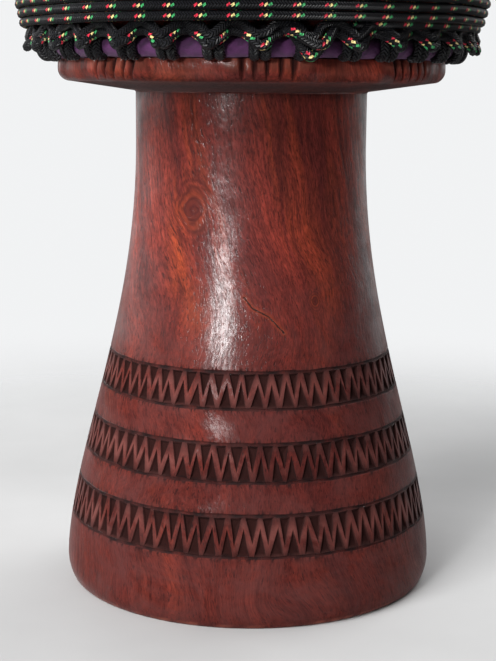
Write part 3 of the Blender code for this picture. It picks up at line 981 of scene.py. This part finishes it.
def tubes(name, ropes, materials, sides=ROPE_SIDES, lengths=None):
    """One mesh of several tubes.

    A rope is (points, outward directions, half out, half across, closed, material number). lengths, for a
    single rope, are the lengths along it as its braid and threads read them.
    """
    points, faces, places, slots = [], [], [], []
    base = 0
    start = 0.0
    for path, outward, half_out, half_across, closed, slot in ropes:
        if closed:
            tangents = unit(np.roll(path, -1, 0) - np.roll(path, 1, 0))
            steps = np.linalg.norm(np.roll(path, -1, 0) - path, axis=1)
        else:
            tangents = unit(np.gradient(path, axis=0))
            steps = np.linalg.norm(np.diff(path, axis=0), axis=1)
        out = unit(outward - np.sum(outward * tangents, 1, keepdims=True) * tangents)
        across = np.cross(tangents, out)
        turns = even_angles(sides)
        ring = (
            path[:, None]
            + half_out * np.cos(turns)[None, :, None] * out[:, None]
            + half_across * np.sin(turns)[None, :, None] * across[:, None]
        )
        points.append(ring.reshape(-1, 3))
        distance = np.concatenate([[0], np.cumsum(steps)]) + start if lengths is None else lengths
        start += BRAID_SHIFT
        count = len(path)
        for i in range(len(steps)):
            here, after = base + i * sides, base + (i + 1) % count * sides
            for k in range(sides):
                following = (k + 1) % sides
                faces.append((here + k, here + following, after + following, after + k))
                low, high = k / sides, (k + 1) / sides
                places += [(distance[i], low), (distance[i], high)]
                places += [(distance[i + 1], high), (distance[i + 1], low)]
        if not closed:
            for first in (0, (count - 1) * sides):
                faces.append(tuple(base + first + k for k in range(sides)))
                places += [(distance[0], END_READS)] * sides
        slots += [slot] * (len(faces) - len(slots))
        base += count * sides
    piece = new_mesh(name, np.concatenate(points).tolist(), faces, slots, materials)
    layer = piece.data.uv_layers.new(name="rope")
    layer.uv.foreach_set("vector", np.array(places, np.float32).ravel())
    return piece


def ring_of(node):
    """(radius, height, thickness radius) of a cloth-wrapped ring, from its six-sided solid."""
    low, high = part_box(node)
    tube = (high.z - low.z) / 2 / sin(radians(60))
    return high.x - tube, (low.z + high.z) / 2, tube


def make_ring(name, node, material, seed):
    """A ring wound with cloth: its thickness swells and creases along the winding."""
    radius, height, tube = ring_of(node)
    rng = default_rng(seed)
    angles = even_angles(RING_AROUND)
    path = polar(radius, angles, height)
    path[:, 2] += wobble(angles, rng) * 0.12 * MM
    half = tube * RING_SHARE
    piece = tubes(name, [(path, polar(1.0, angles, 0.0), half, half, True, 0)], [material], RING_SIDES)
    data = piece.data
    places = np.zeros((len(data.vertices), 3))
    data.vertices.foreach_get("co", places.ravel())
    centres = np.repeat(path, RING_SIDES, 0)
    across = np.repeat(angles, RING_SIDES)
    round_it = np.tile(np.arange(RING_SIDES) / RING_SIDES, len(angles))
    lap = (across * radius / CLOTH_LAP + CLOTH_LEAN * round_it) % 1
    creases = wobble(across + 3 * round_it, rng, 9, 90)
    swell = 1 - CLOTH_DIP * np.abs(np.sin(np.pi * lap)) + CLOTH_CREASE * creases
    places = centres + (places - centres) * np.minimum(swell, 1.0)[:, None]
    data.vertices.foreach_set("co", places.ravel())
    return piece


def ring_curve(ring, hang, corners, closed, samples):
    """A curve beside a ring, and its outward directions.

    Corners are (angle round the drum, angle round the ring, distance from its centre line).
    """
    radius, height = ring
    points, outs = [], []
    for angle, around, distance in corners:
        out, up = cos(around), hang * sin(around)
        points.append(polar(radius + distance * out, np.float64(angle), height + distance * up))
        outs.append((out * cos(angle), out * sin(angle), up))
    return smooth_path(points, closed, samples), unit(smooth_path(outs, closed, samples))


def round_ring(angle, up, out):
    """A corner for ring_curve, from millimetres above the ring's centre line and outside it."""
    return angle, atan2(up, out), hypot(up, out) * MM


def make_loops(name, node, hang, slack, seed, materials, tie=None):
    """Double hitches round a ring, and a doubled garland that dips across each hitch on to the next.

    slack is how far the garland stands off, as a share of what it does on the bottom ring, and tie the hitch
    where the rope is tied off.
    """
    radius, height, tube = ring_of(node)
    ring = radius, height
    rng = default_rng(seed)
    period = TURN / LOOP_COUNT
    near = tube + HITCH_OUT
    ropes = []
    for loop in range(LOOP_COUNT):
        middle = FIRST_LOOP + loop * period + rng.normal(0, 0.02) * period
        for side in (-0.5, 0.5):
            at = middle + side * STRAND_GAP / radius * rng.uniform(0.94, 1.02)
            corners = [(at, radians(degrees), near * share) for degrees, share in HITCH]
            ropes.append((*ring_curve(ring, hang, corners, False, 3), HITCH_OUT, HITCH_ACROSS, False, 1))
    for level, strand in enumerate(GARLAND):
        corners = []
        for loop in range(LOOP_COUNT):
            middle = FIRST_LOOP + loop * period
            for share, up, out in strand:
                up += rng.normal(0, 0.4)
                if tie is not None and level == 0:
                    away = abs((loop + share - tie + LOOP_COUNT / 2) % LOOP_COUNT - LOOP_COUNT / 2)
                    up -= TIE_SAG * ease(1 - away / TIE_SPREAD)
                out = out * slack + rng.normal(0, 0.2)
                corners.append(round_ring(middle + (share + rng.normal(0, 0.012)) * period, up, out))
        path, out = ring_curve(ring, hang, corners, True, 4)
        ropes.append((path, unit(out * (1, 1, 0.4)), GARLAND_OUT, ROPE_ACROSS, True, level))
    if tie is not None:
        middle = FIRST_LOOP + tie * period
        corners = [round_ring(middle + share * period, up, out) for share, up, out in TIE_STRAND]
        ropes.append((*ring_curve(ring, hang, corners, False, 6), GARLAND_OUT, ROPE_ACROSS, False, 0))
    return tubes(name, ropes, materials)


def make_lacing(material):
    """One rope up and down over the bowl, with a round turn at each end of each leg."""
    low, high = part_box("lacing_rope")
    bottom = (ring_of("bottom_ring")[0] + LACE_OUT, low.z + LACE_HALF)
    top = (high.x - LACE_HALF, high.z - LACE_HALF)
    period = TURN / LOOP_COUNT
    rng = default_rng(11)
    points = []
    for loop in range(LOOP_COUNT):
        for middle, here, there, sign in ((loop + 0.5, bottom, top, 1), (loop + 1.0, top, bottom, -1)):
            at = FIRST_LOOP + middle * period
            for share, lift in ((-LACE_SHARE, LACE_LIFT), (0.0, 0.0), (LACE_SHARE, LACE_LIFT)):
                points.append((here[0] + 0.22 * sign * lift, at + share * period, here[1] + sign * lift))
            leave = (here[0], at + LACE_SHARE * period, here[1])
            arrive = (there[0], at + (0.5 - LACE_SHARE) * period, there[1])
            for share in LACE_STEPS:
                mixed = [a + share * (b - a) for a, b in zip(leave, arrive)]
                mixed[1] += rng.normal(0, 0.006) * period
                points.append(tuple(mixed))
    radius, angle, height = np.array(points).T
    path = smooth_path(polar(radius, angle, height), True, 4)
    return tubes("lacing", [(path, path * (1, 1, 0), 2.3 * MM, 2.45 * MM, True, 0)], [material])


def make_wraps(material):
    """The spare rope, wound round the bottom of the bowl from where it is tied off at the front right."""
    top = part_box("waist_wraps")[1].z
    turns = (top - ROPE_ACROSS - WRAP_LOW) / WRAP_PITCH
    turned = np.linspace(0, turns, int(turns * WRAP_AROUND))
    angles = FRONT + WRAP_START + turned * TURN
    rng = default_rng(5)
    heights = WRAP_LOW + turned * WRAP_PITCH + wobble(angles, rng, 8, 12) * 0.2 * MM * ease(turned)
    radius = WRAP_RADIUS + (heights - WRAP_LOW) * WRAP_LEAN + wobble(angles * 1.3, rng, 8, 20) * 0.15 * MM
    tucked = 1 - ease(turned / WRAP_TUCK)
    heights += tucked * WRAP_TUCK_UP
    radius -= tucked * WRAP_TUCK_IN
    ends = ease(1 - turned / WRAP_END) + ease(1 - (turns - turned) / WRAP_END)
    radius -= ends * WRAP_END_IN
    path = polar(radius, angles, heights)
    outs = polar(1.0, angles, -0.1 + 0 * angles)
    lengths = WRAP_FLECKS * turned * FLECK_PITCH
    half_out, half_across = ROPE_OUT * 1.08, ROPE_ACROSS * 0.97
    return tubes("wraps", [(path, outs, half_out, half_across, False, 0)], [material], 10, lengths)


def make_head(material):
    """The skin over the rim, puckered where the ring pulls it down, with its edge rolled under."""
    low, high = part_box("drumhead")
    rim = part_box("shell")[1]
    mesh = Surface()
    around = even_angles(AROUND)
    rng = default_rng(3)
    side = rim.x + SKIN_OUT
    flat = high.z - SKIN_DIP
    pucker = np.abs(np.sin(around * LOOP_COUNT)) ** 2 + 0.4 * wobble(around, rng, 9, 60)
    sheet = wobble(around, rng, 5, 9)
    centre = mesh.point((0, 0, flat))
    outer = []

    def add_row(radius, level):
        outer.append(mesh.row(radius, level, around))

    for share in (0.12, 0.3, 0.5, 0.7, 0.85, 0.95):
        add_row((side - SKIN_FLAT_IN) * share, flat + 0.1 * MM * sheet * share)
    mesh.fan(outer[0], centre)
    for angle in np.radians((90, 70, 50, 30, 10)):
        level = high.z - SKIN_ROUND + SKIN_ROUND * sin(angle)
        add_row(side - SKIN_ROUND + SKIN_ROUND * cos(angle), level)
    hem_top = low.z + HEM_HEIGHT
    for share in (0.2, 0.45, 0.7, 0.9):
        level = high.z - SKIN_ROUND + share * (hem_top - high.z + SKIN_ROUND)
        add_row(side - 0.35 * MM * pucker * share, level)
    hem_middle = (hem_top + low.z) / 2
    for angle in np.radians((90, 60, 30, 0, -30, -60, -90)):
        uneven = (0.3 * MM * sheet - 0.25 * MM * pucker) * cos(angle)
        bulge = side + (HEM_OUT - 0.5 * MM) * cos(angle) + uneven
        add_row(bulge, hem_middle + HEM_HALF * sin(angle))
    inner = [
        mesh.row(side - SKIN_THICK, low.z + 0.2 * MM, around),
        mesh.row(side - SKIN_THICK, rim.z - 3 * MM, around),
        mesh.row(rim.x - 2.7 * MM, rim.z + UNDER_GAP, around),
    ]
    mesh.join_all([*outer, *inner])
    mesh.fan(inner[-1], mesh.point((0, 0, rim.z + UNDER_GAP)))
    return mesh.build("head_skin", [material], 60)


def fix_normals(piece):
    mesh = bmesh.new()
    mesh.from_mesh(piece.data)
    bmesh.ops.recalc_face_normals(mesh, faces=mesh.faces)
    mesh.to_mesh(piece.data)
    mesh.free()


def make_floor():
    """A pale floor that fades out into the background."""
    corners = [(-FLOOR, -FLOOR, 0), (FLOOR, -FLOOR, 0), (FLOOR, FLOOR, 0), (-FLOOR, FLOOR, 0)]
    paint = Material("pale_floor")
    paint.colour = paint.ramp(paint.noise(7, 4), FLOOR_TONES)
    away = paint.out("VectorMath", "Value", {0: paint.place}, operation="LENGTH")
    fade = paint.between(away, FLOOR_FADE, (1.0, 0.0), "SMOOTHERSTEP")
    material = paint.set(Roughness=0.7, Alpha=fade)
    new_mesh("floor", corners, [(0, 1, 2, 3)], [0], [material])


def make_camera():
    data = bpy.data.cameras.new("camera")
    data.sensor_width = SENSOR
    data.lens = FOCAL_PIXELS / PICTURE_HEIGHT * SENSOR
    data.clip_end = 50
    camera = add("camera", data)
    camera.location = CAMERA_AT
    camera.rotation_euler = (CAMERA_PITCH, CAMERA_ROLL, CAMERA_TURN)
    bpy.context.scene.camera = camera


def soft_light(name, place, target, size, power, lean=0.0):
    lamp = bpy.data.lights.new(name, "AREA")
    lamp.shape = "RECTANGLE"
    lamp.size, lamp.size_y = size
    lamp.energy = power
    holder = add(name, lamp)
    holder.location = place
    facing = (Vector(target) - Vector(place)).to_track_quat("-Z", "Y").to_matrix()
    holder.rotation_euler = (facing @ Matrix.Rotation(lean, 3, "Z")).to_euler()


def make_world():
    """Light from behind the drum and above, and a pale background for the camera."""
    world = bpy.data.worlds.new("room")
    world.use_nodes = True
    room = Nodes(world.node_tree)
    where = room.out("TexCoord", "Generated")
    side = room.out("VectorMath", "Value", {0: where, 1: BRIGHT_SIDE}, operation="DOT_PRODUCT")
    _, _, up = room.split(where)
    lit = room.between(side, *LIT_BEHIND, "SMOOTHSTEP") * room.between(up, *LIT_ABOVE, "LINEAR")
    seen = room.out("LightPath", "Is Camera Ray")
    strength = room.out("Mix", "Result", {"Factor": seen, "A": lit, "B": BACKDROP})
    background = room.tree.nodes["Background"]
    room.feed(background.inputs["Color"], BACKDROP_TINT)
    room.feed(background.inputs["Strength"], strength)
    bpy.context.scene.world = world


def make_stage():
    """Pale floor, camera at the photographed view, and soft light from the upper left."""
    make_floor()
    make_camera()
    for light in LIGHTS:
        soft_light(*light)
    make_world()
    bpy.context.scene.view_settings.view_transform = "Standard"


def main():
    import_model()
    outside = wood_material("varnished_wood", 1.0, VARNISHED_WOOD, True)
    inside = wood_material("bare_wood", 0.0, BARE_WOOD)
    # Wood of the pockets: dark stain and painted shade
    carved = wood_material("carved_wood_stain_and_shade", 0.0, CARVED_STAIN_AND_SHADE)
    ropes = [rope_material("braided_rope", True), rope_material("plain_rope", False)]
    cloth, skin = cloth_material(), skin_material()
    pieces = (
        (make_shell([outside, inside, carved]), "shell", "wood"),
        (make_head(skin), "drumhead", "skin"),
        (make_ring("bottom_ring_cloth", "bottom_ring", cloth, 21), "bottom_ring", "cloth"),
        (make_ring("crown_ring_cloth", "crown_ring", cloth, 22), "crown_ring", "cloth"),
        (make_loops("bottom_hitches", "bottom_ring", 1, 1.0, 31, ropes, TIE_OFF), "bottom_loops", "rope"),
        (make_loops("crown_hitches", "crown_ring", -1, 0.68, 32, ropes), "crown_loops", "rope"),
        (make_lacing(ropes[0]), "lacing_rope", "rope"),
        (make_wraps(ropes[0]), "waist_wraps", "rope"),
    )
    for piece, node, slot in pieces:
        fix_normals(piece)
        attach(piece, "root")
        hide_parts(node)
    make_stage()


main()
